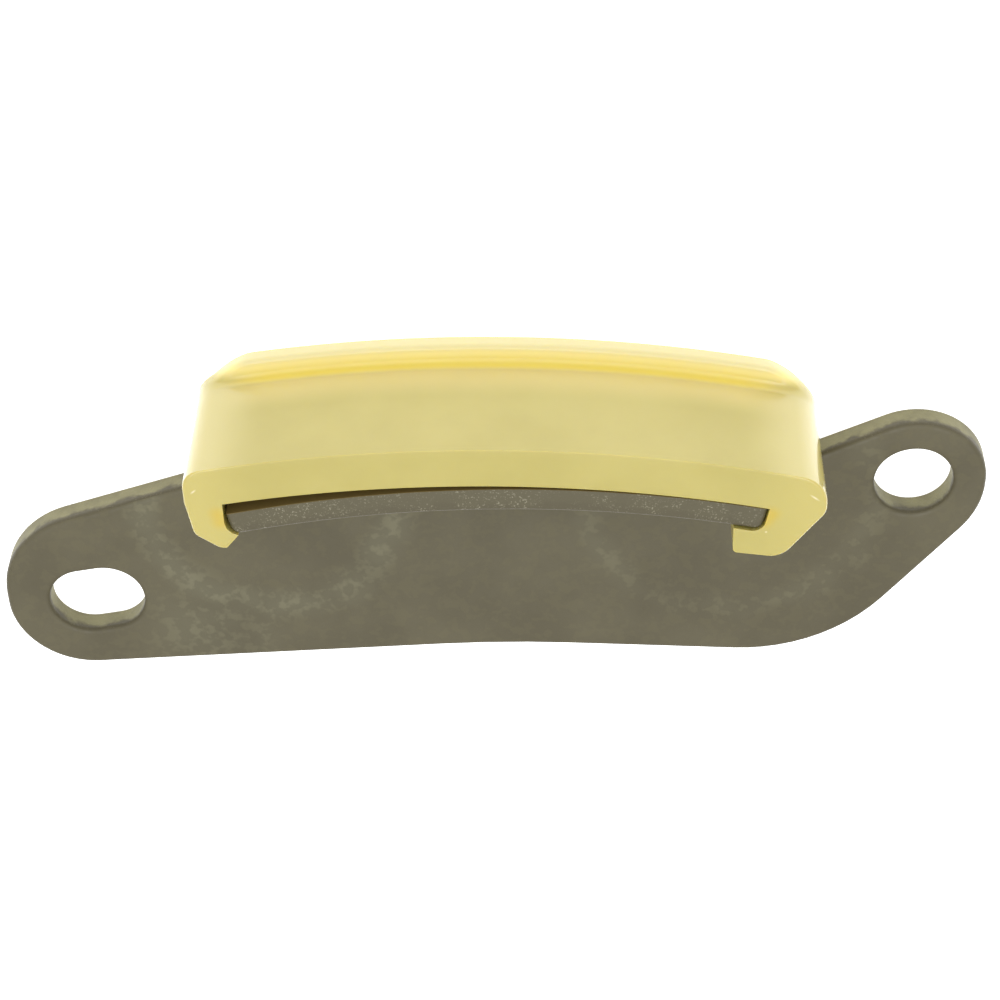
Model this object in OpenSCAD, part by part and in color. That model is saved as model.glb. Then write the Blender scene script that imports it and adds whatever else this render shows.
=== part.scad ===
// Timing chain guide: a folded steel bracket that carries a moulded nylon shoe on its flange.
// The plate lies on its mounting face at Z = 0, with the locating hole on the Z axis.
// +X runs along the flange towards the locating hole, and +Y points at the chain.

/* [Plate] */
// Thickness of the bracket's sheet
sheet_t = 3; // [2:0.1:4]
// Diameter of the round locating hole
hole_d = 9; // [6:0.1:11]
// Radius of the ear round the locating hole
ear_r = 8.3; // [7:0.1:10]
// Slope of the shoulder beside the ear, in degrees
ear_slope = 24.6; // [15:0.1:35]
// Drop from the hole's centre to where the ear's edge turns down to the keel
ear_skirt = 4.15; // [3:0.05:6]
// Radius of that turn
ear_skirt_r = 11; // [6:0.5:12]
// Distance along X from the locating hole to the adjusting slot
slot_run = 96.3; // [85:0.1:110]
// Drop from the locating hole to the adjusting slot
slot_drop = 16.7; // [12:0.1:20]
// Width of the adjusting slot
slot_w = 9; // [6:0.1:11]
// Length of the adjusting slot
slot_len = 11.4; // [10:0.1:14]
// Metal between the slot and the foot's outer edge
slot_edge = 5.1; // [4:0.1:8]
// Slope of the shoulder above the slot, in degrees
foot_slope = 18.1; // [10:0.1:25]
// Distance from the slot's centre to that shoulder
foot_top = 12.4; // [10:0.1:15]
// Distance from the slot's centre to the foot's lower corner
foot_base = 10.5; // [9:0.1:14]
// Radius of the foot's upper corner
foot_top_r = 11.8; // [6:0.1:13]
// Radius of the foot's lower corner
foot_base_r = 9.5; // [6:0.1:11]
// Drop from the locating hole to the middle of the lower edge
arch_drop = 24; // [21:0.1:26]
// Radius that blends the two halves of the lower edge
arch_r = 150; // [60:5:200]
// Distance along X from the locating hole to the keel's corner
keel_run = 9.2; // [6:0.1:14]
// Drop from the locating hole to the keel's corner
keel_drop = 26; // [24:0.1:30]
// Radius of the keel's corner
keel_r = 21; // [8:0.5:24]

/* [Flange] */
// Inside radius of the fold between plate and flange
bend_r = 3; // [1.5:0.1:4]
// Radius of the flange's lower face
flange_r = 138; // [110:1:180]
// Length of the flange along the chain, on its upper face
flange_len = 58.7; // [50:0.1:64]
// Distance along X from the locating hole to the flange's middle
flange_run = 47.2; // [44:0.05:52]
// Height of the flange's lower face above the locating hole, at its middle
flange_rise = 8.15; // [7:0.05:12]
// Height of the flange's edge above the mounting face
flange_z = 17.8; // [14:0.1:24]
// Radius of the flange's corners, seen on its face
flange_corner_r = 1.6; // [0.5:0.1:4]
// Rolled-over radius along the lower edge of the flange's ends
flange_roll_r = 1.3; // [0.4:0.1:1.4]
// Width of the relief notch beside each end of the fold
relief_w = 1.5; // [0.6:0.1:3]
// Depth of that notch below the fold
relief_d = 1.4; // [0.5:0.1:2]

/* [Shoe] */
// Thickness of the pad under the running face
pad_t = 4.9; // [3:0.1:8]
// How much larger the radius of the pad's underside is than that of the flange's upper face
seat_ease = 17.7; // [2:0.1:60]
// Angle from the flange's middle to where the pad seats on it, in degrees
seat_lie = 11.9; // [0:0.1:12]
// Gap between flange and pad at that seat
seat_gap = 0.25; // [0.05:0.05:0.6]
// How far the shoe's front face stands proud of the flange's edge
shoe_proud = 0.2; // [0:0.1:2]
// Gap between the mounting plane and the shoe's back
shoe_back = 0.3; // [0.2:0.1:1.5]
// Gap between the flange's end and the hook at the slot's end
toe_clear = 0.7; // [0.1:0.05:0.9]
// Gap between the flange's end and the hook at the locating hole's end
heel_clear = 0.15; // [0.1:0.05:0.6]
// Gap between the flange's lower face and the lips of the hooks
lip_clear = 0.15; // [0.1:0.05:0.4]
// Gap between the plate and the back of the hooks
plate_clear = 0.3; // [0.1:0.05:1]
// Wall of the hook at the slot's end
toe_wall = 4.2; // [3:0.1:6]
// Depth of the lip under the flange at the slot's end
toe_lip_t = 1.2; // [1:0.1:3]
// Reach of that lip under the flange
toe_reach = 1.4; // [1:0.1:3]
// Lean of that hook's outer side towards its foot
toe_draft = 0.7; // [0:0.1:1.5]
// Height of the bevel at the foot of that hook
toe_bevel = 1.9; // [0.5:0.1:3]
// Flat part of that hook's foot, outside the flange's end
toe_flat = 0.9; // [0.5:0.1:2]
// Outer radii of that hook's bevel
toe_r = 1.2; // [0.4:0.1:1.5]
// Radius of the shoulder above that hook
toe_top_r = 2.6; // [1:0.1:4]
// Wall of the hook at the locating hole's end
heel_wall = 6.2; // [5:0.1:9]
// Depth of the lip under the flange at the locating hole's end
heel_lip_t = 3.3; // [2:0.1:4]
// Reach of that lip under the flange
heel_reach = 3.75; // [2:0.05:6]
// Slope of the chamfer under that hook, in degrees
heel_slope = 53; // [45:1:60]
// Drop from the pad's underside at its middle to the chamfer's upper end
heel_drop = 4.1; // [3:0.1:5]
// Outer radii of that hook's chamfer
heel_r = 2; // [1:0.1:2.5]
// Radius at the lower edge of that hook's tip
heel_tip_r = 0.6; // [0.2:0.1:0.9]
// Radius of the shoulder above that hook
heel_top_r = 3.8; // [1:0.1:5]

/* [Rim] */
// Height of the rim above the running face
rim_h = 2.5; // [1:0.1:4]
// Thickness of the rim
rim_t = 1.8; // [1:0.1:3]
// Radius along the rim's top edges
rim_edge_r = 0.6; // [0.2:0.1:0.8]
// Radius of the fillet at the rim's root
rim_root_r = 1; // [0.3:0.1:2]
// Radius over which the rim falls away at its ends
rim_end_r = 9.3; // [5:0.1:12]

/* [Hidden] */
$fn = 96;
// How far cuts run past the faces they open, and joined shapes run into each other
over = 1;
// Angles at which the rim, a rounded corner and the arch meet their neighbours,
// so that no sliver is left
rim_meet = 12;
corner_meet = 4;
arch_meet = 1;

slot_c = [-slot_run, -slot_drop];
slot_lie = atan2(slot_drop, slot_run);
foot_x = slot_c.x - (slot_w + (slot_len - slot_w) * cos(slot_lie)) / 2 - slot_edge;
fold_c = [-flange_run, flange_rise - flange_r];
flange_half = asin(flange_len / 2 / (flange_r + sheet_t));
root_r = flange_r - bend_r;
strip = flange_r * (1 - cos(flange_half)) + 3 * over;
toe_in = -flange_run - flange_len / 2 - toe_clear;
heel_in = -flange_run + flange_len / 2 + heel_clear;
toe_x = toe_in - toe_wall;
heel_x = heel_in + heel_wall;
seat_r = flange_r + sheet_t + seat_ease;
pad_c = fold_c - (seat_ease - seat_gap) * [sin(seat_lie), cos(seat_lie)];
run_r = seat_r + pad_t;
shoe_z = flange_z + shoe_proud;
hook_z = sheet_t + plate_clear;
lip_z = sheet_t + bend_r + plate_clear;
pad_top = pad_c.y + run_r + over;
toe_low = lip_at(toe_in) - toe_lip_t;
toe_foot = [toe_x + toe_draft, toe_low + toe_bevel];
toe_lean = [toe_x, seat_at(toe_x) + over];
heel_low = lip_at(heel_in) - heel_lip_t;
heel_chamfer = [heel_x, seat_at(-flange_run) - heel_drop];
heel_keel = [heel_x - (heel_chamfer.y - heel_low) / tan(heel_slope), heel_low];
heel_end = [heel_keel, heel_chamfer, [heel_x, pad_top]];

function dir(a) = [cos(a), sin(a)];
function unit(v) = v / norm(v);

// Centre of the rounding of radius r at corner b between its neighbours a and c
function rounding_c(a, b, c, r) =
    let (u = unit(a - b), w = unit(c - b))
    b + unit(u + w) * r / sin(acos(u * w) / 2);

// Foot of the perpendicular from point p on the line through a and b
function foot_on(p, a, b) = a + unit(b - a) * ((p - a) * unit(b - a));

// Height on the shoulder beside the ear, and on the one above the slot
function ear_shoulder(x) = (ear_r + x * sin(ear_slope)) / cos(ear_slope);
function foot_shoulder(x) = slot_c.y + (foot_top + (x - slot_c.x) * sin(foot_slope)) / cos(foot_slope);

// What a rounding of radius r takes off a corner, from its centre and its two tangent points
module corner_waste(centre, t1, t2, r) {
    difference() {
        polygon([centre, 2 * t1 - centre, 2 * (t1 + t2) - 3 * centre, 2 * t2 - centre]);
        translate(centre) circle(r / cos(corner_meet));
    }
}

// Rounds corner i of an outline, where the outline is convex
module rounded_off(outline, i, r) {
    n = len(outline);
    a = outline[(i + n - 1) % n];
    b = outline[i];
    c = outline[(i + 1) % n];
    m = rounding_c(a, b, c, r);
    corner_waste(m, foot_on(m, a, b), foot_on(m, c, b), r);
}

// Fills corner i of an outline with a rounding, where the outline is hollow;
// the rounding meets the sides at an angle
module filled_in(outline, i, r, meet) {
    n = len(outline);
    a = outline[(i + n - 1) % n];
    b = outline[i];
    c = outline[(i + 1) % n];
    m = rounding_c(a, b, c, r);
    difference() {
        polygon([foot_on(m, a, b), foot_on(m, c, b), b + over * unit(b - m)]);
        translate(m) circle(r / cos(meet));
    }
}

// What the plate leaves to the fold, with a relief notch beside each of its ends
module fold_share() {
    half = flange_half + asin(relief_w / root_r);
    far = 2 * flange_r;
    difference() {
        polygon([fold_c, fold_c + far * dir(90 - half), fold_c + far * dir(90 + half)]);
        translate(fold_c) circle(root_r - relief_d);
    }
}

// Outline of the flat plate; its upper side between the shoulders lies in the fold's strip
module plate_outline() {
    tab = [for (s = [1, -1]) fold_c.x + s * (root_r - strip) * sin(flange_half)];
    pts = [
        [foot_x, slot_c.y - foot_base],
        [-flange_run, -arch_drop],
        [-keel_run, -keel_drop],
        [ear_r, -ear_skirt],
        [ear_r, ear_shoulder(ear_r)],
        [tab[0], ear_shoulder(tab[0])],
        [tab[1], foot_shoulder(tab[1])],
        [foot_x, foot_shoulder(foot_x)]
    ];
    difference() {
        polygon(pts);
        rounded_off(pts, 0, foot_base_r);
        rounded_off(pts, 2, keel_r);
        rounded_off(pts, 3, ear_skirt_r);
        rounded_off(pts, 4, ear_r);
        rounded_off(pts, 7, foot_top_r);
        fold_share();
    }
    filled_in(pts, 1, arch_r, arch_meet);
}

// Section through the fold: a strip of plate, the bend and the flange, with the radius along X
module fold_section() {
    pts = [
        [root_r - strip, 0], [flange_r + sheet_t, 0], [flange_r + sheet_t, flange_z],
        [flange_r, flange_z], [flange_r, sheet_t], [root_r - strip, sheet_t]
    ];
    difference() {
        polygon(pts);
        rounded_off(pts, 1, bend_r + sheet_t);
    }
    filled_in(pts, 4, bend_r, corner_meet);
}

module slot_cut() {
    translate(slot_c) rotate(slot_lie) {
        for (s = [-1, 1])
            translate([s * (slot_len - slot_w) / 2, 0, -over]) cylinder(d = slot_w, h = sheet_t + 2 * over);
        translate([(slot_w - slot_len) / 2, -slot_w / 2, -over])
            cube([slot_len - slot_w, slot_w, sheet_t + 2 * over]);
    }
}

// Rounds one end of the flange, seen from its face and from its edge; s is 1 at the heel, -1 at the toe
module flange_end_cut(s) {
    lie = 90 - s * flange_half;
    out = s * dir(lie - 90);
    roll_m = flange_r + flange_roll_r;
    roll_lie = lie + s * asin(flange_roll_r / roll_m);
    roll_c = roll_m * dir(roll_lie);
    translate([0, 0, sheet_t + bend_r]) linear_extrude(flange_z)
        corner_waste(roll_c, roll_c + flange_roll_r * out, flange_r * dir(roll_lie), flange_roll_r);
    r = flange_corner_r;
    corner_c = [-r, flange_z - r];
    rotate(lie - 90) mirror([1 - s, 0, 0]) translate([0, flange_r + sheet_t + over, 0]) rotate([90, 0, 0])
        linear_extrude(sheet_t + 2 * over) corner_waste(corner_c, corner_c + [r, 0], corner_c + [0, r], r);
}

module bracket() {
    color([0.45, 0.43, 0.35]) difference() {
        union() {
            linear_extrude(sheet_t) plate_outline();
            translate(fold_c) rotate_extrude(angle = 2 * flange_half, start = 90 - flange_half)
                fold_section();
        }
        translate([0, 0, -over]) cylinder(d = hole_d, h = sheet_t + 2 * over);
        slot_cut();
        translate(fold_c) for (s = [-1, 1])
            flange_end_cut(s);
    }
}

// Centre of a rounding of radius r between a face of radius face_r about the pad's centre
// and the shoe's end wall at x; s is 1 at the heel and -1 at the toe
function shoulder_c(x, s, r, face_r) =
    let (mx = x - s * r - pad_c.x)
    pad_c + [mx, sqrt((face_r - r) ^ 2 - mx ^ 2)];

// Height of the pad's underside and of the lips' upper face at x
function seat_at(x) = pad_c.y + sqrt(seat_r ^ 2 - (x - pad_c.x) ^ 2);
function lip_at(x) = fold_c.y + sqrt((flange_r - lip_clear) ^ 2 - (x - fold_c.x) ^ 2);

module pad_shoulder_waste(x, s, r) {
    m = shoulder_c(x, s, r, run_r);
    corner_waste(m, m + [s * r, 0], m + r * unit(m - pad_c), r);
}

// The pad from the front: an even strip with rounded shoulders,
// whose ends run down into the hooks' outer sides
module pad_profile() {
    difference() {
        intersection() {
            translate(pad_c) circle(run_r);
            polygon(concat([toe_foot], heel_end, [[toe_x, pad_top], toe_lean]));
        }
        translate(pad_c) circle(seat_r);
        pad_shoulder_waste(toe_x, -1, toe_top_r);
        pad_shoulder_waste(heel_x, 1, heel_top_r);
        rounded_off(heel_end, 1, heel_r);
    }
}

// What a rounding of radius r leaves in the pocket's lower corner, beside a wall that faces along in
module curl_waste(m, in, r) {
    corner_waste(m, m - r * in, m - r * unit(m - fold_c), r);
}

// Room for the flange between the hooks, from their lips up to the pad: upright at the toe,
// along the flange's end at the heel, with rounded lower corners
module pocket() {
    lip_r = flange_r - lip_clear;
    end_in = -dir(-flange_half);
    end_c = fold_c - heel_clear * end_in;
    toe_curl = flange_roll_r + toe_clear;
    toe_mx = toe_in + toe_curl - fold_c.x;
    toe_m = fold_c + [toe_mx, sqrt((lip_r + toe_curl) ^ 2 - toe_mx ^ 2)];
    heel_curl = flange_roll_r + heel_clear;
    heel_lie = 90 - flange_half + asin(flange_roll_r / (lip_r + heel_curl));
    heel_m = fold_c + (lip_r + heel_curl) * dir(heel_lie);
    difference() {
        intersection() {
            translate(pad_c) circle(seat_r);
            polygon([
                [toe_in, end_c.y], end_c,
                end_c + 2 * flange_r * dir(90 - flange_half), [toe_in, pad_top + flange_r]
            ]);
        }
        translate(fold_c) circle(lip_r);
        curl_waste(toe_m, [1, 0], toe_curl);
        curl_waste(heel_m, end_in, heel_curl);
    }
}

// Hook at the slot's end: a slim wall whose foot curls under the flange by its reach
module toe_hook(reach) {
    tip = toe_in + reach;
    pts = [
        toe_foot, [toe_in - toe_flat, toe_low], [toe_in, toe_low], [tip, lip_at(tip)],
        [tip, seat_at(tip) + over], toe_lean
    ];
    difference() {
        polygon(pts);
        rounded_off(pts, 0, toe_r);
        rounded_off(pts, 1, toe_r);
        pocket();
    }
}

// Hook at the locating hole's end: a stouter wall, chamfered outside, with a longer lip
module heel_hook(reach) {
    tip = heel_in - reach;
    pts = [[tip, lip_at(tip) - heel_lip_t], heel_keel, heel_chamfer, [tip, seat_at(tip) + over]];
    difference() {
        polygon(pts);
        rounded_off(pts, 0, heel_tip_r);
        rounded_off(pts, 1, heel_r);
        rounded_off(heel_end, 1, heel_r);
        pocket();
    }
}

// Section of the rim and its root fillet: radius along X, height above the shoe's back along Y
module rim_section() {
    top_r = run_r + rim_h;
    root_c = [run_r + rim_root_r * cos(rim_meet), rim_t + rim_root_r];
    difference() {
        translate([run_r - over, 0]) square([rim_h + over, rim_t]);
        for (up = [0, 1]) {
            m = [top_r - rim_edge_r, up * rim_t + (1 - 2 * up) * rim_edge_r];
            corner_waste(m, m + [rim_edge_r, 0], m + [0, (2 * up - 1) * rim_edge_r], rim_edge_r);
        }
    }
    difference() {
        translate([run_r - over, rim_t]) square([root_c.x - run_r + over, rim_root_r]);
        translate(root_c) circle(rim_root_r);
    }
}

// Outline that ends the rim: it falls away over a disc at each end of the shoe
module rim_outline() {
    crest = run_r + rim_h + rim_end_r * (1 - cos(rim_meet));
    toe_m = shoulder_c(toe_x, -1, rim_end_r, crest);
    heel_m = shoulder_c(heel_x, 1, rim_end_r, crest);
    for (m = [toe_m, heel_m])
        translate(m) circle(rim_end_r);
    polygon([
        pad_c, toe_m, toe_m + 2 * rim_end_r * unit(toe_m - pad_c),
        heel_m + 2 * rim_end_r * unit(heel_m - pad_c), heel_m
    ]);
}

module rim() {
    sweep = 2 * asin((heel_x - toe_x) / run_r);
    intersection() {
        translate(pad_c) rotate_extrude(angle = sweep, start = 90 - sweep / 2) rim_section();
        linear_extrude(rim_t + rim_root_r) rim_outline();
    }
}

module shoe() {
    color([0.88, 0.82, 0.56]) {
        translate([0, 0, shoe_back]) linear_extrude(shoe_z - shoe_back) pad_profile();
        translate([0, 0, shoe_back]) rim();
        translate([0, 0, hook_z]) linear_extrude(shoe_z - hook_z) {
            toe_hook(0);
            heel_hook(0);
        }
        translate([0, 0, lip_z]) linear_extrude(shoe_z - lip_z) {
            toe_hook(toe_reach);
            heel_hook(heel_reach);
        }
    }
}

bracket();
shoe();
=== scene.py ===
"""A timing chain guide: a stamped steel bracket with a moulded nylon shoe clipped over its flange.

Sizes are in millimetres and lie in the part's own frame, unless they are said to be in metres. The
mounting face is Z = 0, the locating hole is on the Z axis, +X runs along the flange towards that
hole and +Y points at the chain. Meshes are scaled to metres when they become objects.
"""

import logging
import math
from collections.abc import Iterable
from dataclasses import dataclass, field
from enum import Enum

import bmesh
import bpy
from bmesh.types import BMEdge, BMesh, BMFace, BMVert
from mathutils import Matrix, Vector


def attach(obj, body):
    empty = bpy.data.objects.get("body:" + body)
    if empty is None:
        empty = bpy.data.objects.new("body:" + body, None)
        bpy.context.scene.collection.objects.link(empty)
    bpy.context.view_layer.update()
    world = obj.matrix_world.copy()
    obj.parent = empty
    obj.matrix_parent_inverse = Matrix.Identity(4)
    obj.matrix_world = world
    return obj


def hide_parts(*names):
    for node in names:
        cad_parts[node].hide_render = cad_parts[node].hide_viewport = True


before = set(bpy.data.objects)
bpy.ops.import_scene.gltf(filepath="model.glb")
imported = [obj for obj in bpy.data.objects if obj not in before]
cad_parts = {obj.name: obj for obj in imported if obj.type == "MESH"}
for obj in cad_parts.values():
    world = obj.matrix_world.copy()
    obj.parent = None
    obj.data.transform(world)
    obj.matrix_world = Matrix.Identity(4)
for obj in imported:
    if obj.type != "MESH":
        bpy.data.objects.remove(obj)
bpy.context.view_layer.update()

LOG = logging.getLogger("chain_guide")
BODY = "root"
MM = 0.001
WELD = 0.004
SNAP = math.radians(0.01)
ARC_STEP = math.radians(5)
LEAST_ARC_STEPS = 3
SHARP = math.radians(28)
EDGE_SEGMENTS = 4
WHITE = (1.0, 1.0, 1.0, 1.0)
BEVEL_WEIGHT = "bevel_weight_edge"
STAGE_LAYER = "stage"
THROUGH_SHEET = "through_sheet"
RIM_GLOW = "rim_glow"

Colour = tuple[float, float, float]
Place = tuple[float, float, float]
Grit = tuple[float, float, float]
Range = tuple[float, float]
Material = bpy.types.Material
Node = bpy.types.Node
Socket = bpy.types.NodeSocket


class End(Enum):
    """One end of the flange, with the side of its middle that it lies on along X."""

    TOE = -1
    HEEL = 1


class Stage(Enum):
    """How far back a part of the shoe's front face reaches: the pad furthest, the lips least."""

    PAD = 0
    WALL = 1
    LIP = 2


class Slot(Enum):
    """The record's material slots."""

    STEEL = "phosphated_steel"
    NYLON = "natural_nylon"


class Scriber:
    """Scribes one outline of lines and arcs at one height, as wire edges of a bmesh."""

    def __init__(self, bm: BMesh, start: Vector, height: float = 0.0) -> None:
        """Sets the point down.

        Args:
            bm: The bmesh that takes the edges.
            start: The outline's first point.
            height: Where the outline lies along Z.
        """
        self.bm = bm
        self.height = height
        self.known_edges = set(bm.edges)
        self.first = bm.verts.new((*start, height))
        self.last = self.first

    def line(self, end: Vector) -> None:
        """Draws a straight line to a point."""
        self.last = bmesh.ops.extrude_vert_indiv(self.bm, verts=[self.last])["verts"][0]
        self.last.co = (*end, self.height)

    def arc(self, centre: Vector, end: Vector, steps: int = 0) -> None:
        """Draws an arc, the shorter way round.

        Args:
            centre: The arc's centre.
            end: A point in the direction in which the arc ends.
            steps: How many edges it has; 0 lets its angle decide.
        """
        arm = self.last.co.to_2d() - centre
        aim = end - centre
        sweep = math.atan2(arm.cross(aim), arm.dot(aim))
        made = bmesh.ops.spin(
            self.bm, geom=[self.last], cent=(*centre, self.height), axis=(0, 0, 1), angle=sweep,
            steps=steps or max(LEAST_ARC_STEPS, math.ceil(abs(sweep) / ARC_STEP)))
        self.last = next(item for item in made["geom_last"] if isinstance(item, BMVert))

    def corner(self, at: Vector, then: Vector, radius: float) -> None:
        """Draws a line towards a corner and round it.

        Args:
            at: The corner.
            then: The next corner of the outline.
            radius: Radius of the rounding.
        """
        back = (self.last.co.to_2d() - at).normalized()
        ahead = (then - at).normalized()
        half = math.acos(back.dot(ahead)) / 2
        reach = radius / math.tan(half)
        self.line(at + back * reach)
        centre = at + (back + ahead).normalized() * (radius / math.sin(half))
        self.arc(centre, at + ahead * reach)

    def drawn(self) -> list[BMEdge]:
        """Gives the edges drawn so far."""
        return [edge for edge in self.bm.edges if edge not in self.known_edges]

    def close(self) -> list[BMEdge]:
        """Draws the last line back to the start and gives the outline's edges."""
        bmesh.ops.contextual_create(self.bm, geom=[self.last, self.first])
        return self.drawn()

    def fill(self, stage: Stage) -> None:
        """Closes the outline and fills it with a flat face that bears a stage."""
        for face in bmesh.ops.edgeloop_fill(self.bm, edges=self.close())["faces"]:
            face[self.bm.faces.layers.int[STAGE_LAYER]] = stage.value


def extrude_down(bm: BMesh, faces: list[BMFace], depth: float, keep: bool = False) -> list[BMFace]:
    """Extrudes flat faces along -Z.

    Args:
        bm: The bmesh that holds them.
        faces: The faces to extrude.
        depth: How far they go.
        keep: Whether the faces stay as a lid at the start.

    Returns:
        The faces at the new depth, in no special order.
    """
    made = bmesh.ops.extrude_face_region(bm, geom=faces)["geom"]
    moved = [item for item in made if isinstance(item, BMVert)]
    bmesh.ops.translate(bm, verts=moved, vec=(0, 0, -depth))
    if not keep:
        bmesh.ops.delete(bm, geom=faces, context="FACES_KEEP_BOUNDARY")
    return [item for item in made if isinstance(item, BMFace)]


def lay_band(bm: BMesh, faces: list[BMFace], width: float) -> None:
    """Lays an even band inside the border of flat faces, in which their edge radii can end."""
    bmesh.ops.inset_region(bm, faces=faces, thickness=width, use_boundary=True,
                           use_even_offset=True)


def weld(bm: BMesh) -> None:
    """Merges points that lie on each other and turns all faces outwards."""
    bmesh.ops.remove_doubles(bm, verts=bm.verts, dist=WELD)
    bmesh.ops.recalc_face_normals(bm, faces=bm.faces)


def lies_at(verts: Iterable[BMVert], level: float) -> bool:
    """Tells whether points all lie at one height."""
    return all(abs(vert.co.z - level) < WELD for vert in verts)


def is_sharp(edge: BMEdge) -> bool:
    """Tells whether two faces meet at an edge with a clear angle."""
    return len(edge.link_faces) == 2 and edge.calc_face_angle(0.0) > SHARP


def finished_piece(bm: BMesh, name: str, bevel: float,
                   materials: list[Material]) -> bpy.types.Object:
    """Makes an object of a bmesh, rounds its weighted edges and stands it for its CAD node.

    Args:
        bm: The finished bmesh, in millimetres; it is freed.
        name: The CAD node that the piece replaces.
        bevel: Radius, in millimetres, of an edge whose bevel weight is 1.
        materials: Its materials, in the order of the faces' material numbers.

    Returns:
        The object, which rides on the part's one body.
    """
    bmesh.ops.scale(bm, verts=bm.verts, vec=(MM, MM, MM))
    mesh = bpy.data.meshes.new(name + "_dressed")
    bm.to_mesh(mesh)
    bm.free()
    mesh.shade_smooth()
    for material in materials:
        mesh.materials.append(material)
    piece = bpy.data.objects.new(name + "_dressed", mesh)
    bpy.context.scene.collection.objects.link(piece)
    rounding = piece.modifiers.new("edge_radii", "BEVEL")
    rounding.limit_method = "WEIGHT"
    rounding.width = bevel * MM
    rounding.segments = EDGE_SEGMENTS
    rounding.profile = 0.5
    rounding.use_clamp_overlap = False
    rounding.loop_slide = False
    rounding.material = -1
    shading = piece.modifiers.new("even_shading", "WEIGHTED_NORMAL")
    shading.keep_sharp = True
    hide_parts(name)
    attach(piece, BODY)
    LOG.info("%s: %d vertices before its edge radii", piece.name, len(mesh.vertices))
    return piece


class NodeBoard:
    """Places and links the nodes of one material or node group."""

    def __init__(self, tree: bpy.types.NodeTree) -> None:
        """Takes a node tree to work on."""
        self.tree = tree

    def plug(self, socket: Socket, value: object) -> None:
        """Links a socket to another one, or sets its value.

        Args:
            socket: The input socket.
            value: The socket to link it to, or the value to set; a colour comes without alpha.
        """
        if isinstance(value, bpy.types.NodeSocket):
            self.tree.links.new(value, socket)
        elif socket.type == "RGBA":
            socket.default_value = (*value, 1.0)
        else:
            socket.default_value = value

    def add(self, kind: str, settings: dict | None = None, **inputs: object) -> Node:
        """Places a node.

        Args:
            kind: The node's type name.
            settings: Its properties, which are set before its inputs.
            inputs: Its input sockets by name, with underscores for spaces; a socket is linked
                and any other value is set.

        Returns:
            The new node.
        """
        node = self.tree.nodes.new(kind)
        for name, value in (settings or {}).items():
            setattr(node, name, value)
        for name, value in inputs.items():
            self.plug(node.inputs[name.replace("_", " ")], value)
        return node

    def reckon(self, kind: str, settings: dict, values: Iterable[object]) -> Node:
        """Places a node whose inputs are filled in their own order.

        Args:
            kind: The node's type name.
            settings: Its properties.
            values: Its inputs' values or the sockets to link them to.

        Returns:
            The new node.
        """
        node = self.add(kind, settings)
        for socket, value in zip(node.inputs, values):
            self.plug(socket, value)
        return node

    def sum(self, operation: str, *values: object, held: bool = True) -> Socket:
        """Works out one sum, by default held between 0 and 1.

        Args:
            operation: The sum's kind.
            values: What goes into it.
            held: Whether its result is held between 0 and 1.

        Returns:
            The result.
        """
        settings = {"operation": operation, "use_clamp": held}
        return self.reckon("ShaderNodeMath", settings, values).outputs["Value"]

    def vectors(self, operation: str, *values: object) -> Node:
        """Works out one sum of vectors and gives its node."""
        return self.reckon("ShaderNodeVectorMath", {"operation": operation}, values)

    def step(self, value: object, low: float, high: float) -> Socket:
        """Turns a value into a soft mask.

        Args:
            value: The value.
            low: Where the mask is 0.
            high: Where it is 1.

        Returns:
            The mask.
        """
        smooth = {"interpolation_type": "SMOOTHSTEP"}
        node = self.add("ShaderNodeMapRange", smooth, Value=value, From_Min=low, From_Max=high)
        return node.outputs["Result"]

    def tint(self, mask: object, below: object, above: object) -> Socket:
        """Mixes two colours by a mask.

        Args:
            mask: The mask.
            below: The colour where it is 0.
            above: The colour where it is 1.

        Returns:
            The mixed colour.
        """
        node = self.add("ShaderNodeMix", {"data_type": "RGBA"})
        for name, value in (("Factor_Float", mask), ("A_Color", below), ("B_Color", above)):
            self.plug(next(s for s in node.inputs if s.identifier == name), value)
        return next(s for s in node.outputs if s.identifier == "Result_Color")

    def noise(self, place: Socket, scale: object, detail: float) -> Node:
        """Places a noise texture."""
        return self.add("ShaderNodeTexNoise", Vector=place, Scale=scale, Detail=detail)

    def place(self, group: bpy.types.NodeTree, **inputs: object) -> Node:
        """Places a node group with its own values."""
        return self.add("ShaderNodeGroup", {"node_tree": group}, **inputs)

    def attribute(self, name: str) -> Socket:
        """Gives a value that the mesh holds at its points."""
        return self.add("ShaderNodeAttribute", {"attribute_name": name}).outputs["Fac"]

    def object_coords(self) -> Socket:
        """Gives the piece's own coordinates, in metres."""
        return self.add("ShaderNodeTexCoord").outputs["Object"]


@dataclass(frozen=True)
class GroupSocket:
    """One named socket of a node group."""

    name: str
    kind: str
    output: bool = False


def new_group(name: str, sockets: list[GroupSocket]) -> tuple[NodeBoard, dict, Node]:
    """Starts a shader node group.

    Args:
        name: The group's name.
        sockets: Its inputs and outputs.

    Returns:
        The board to work on, the group's inputs by name, and its output node.
    """
    tree = bpy.data.node_groups.new(name, "ShaderNodeTree")
    for socket in sockets:
        tree.interface.new_socket(socket.name, in_out="OUTPUT" if socket.output else "INPUT",
                                  socket_type="NodeSocket" + socket.kind)
    board = NodeBoard(tree)
    entry = board.add("NodeGroupInput")
    given = {socket.name: entry.outputs[socket.name] for socket in sockets if not socket.output}
    return board, given, board.add("NodeGroupOutput")


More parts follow.
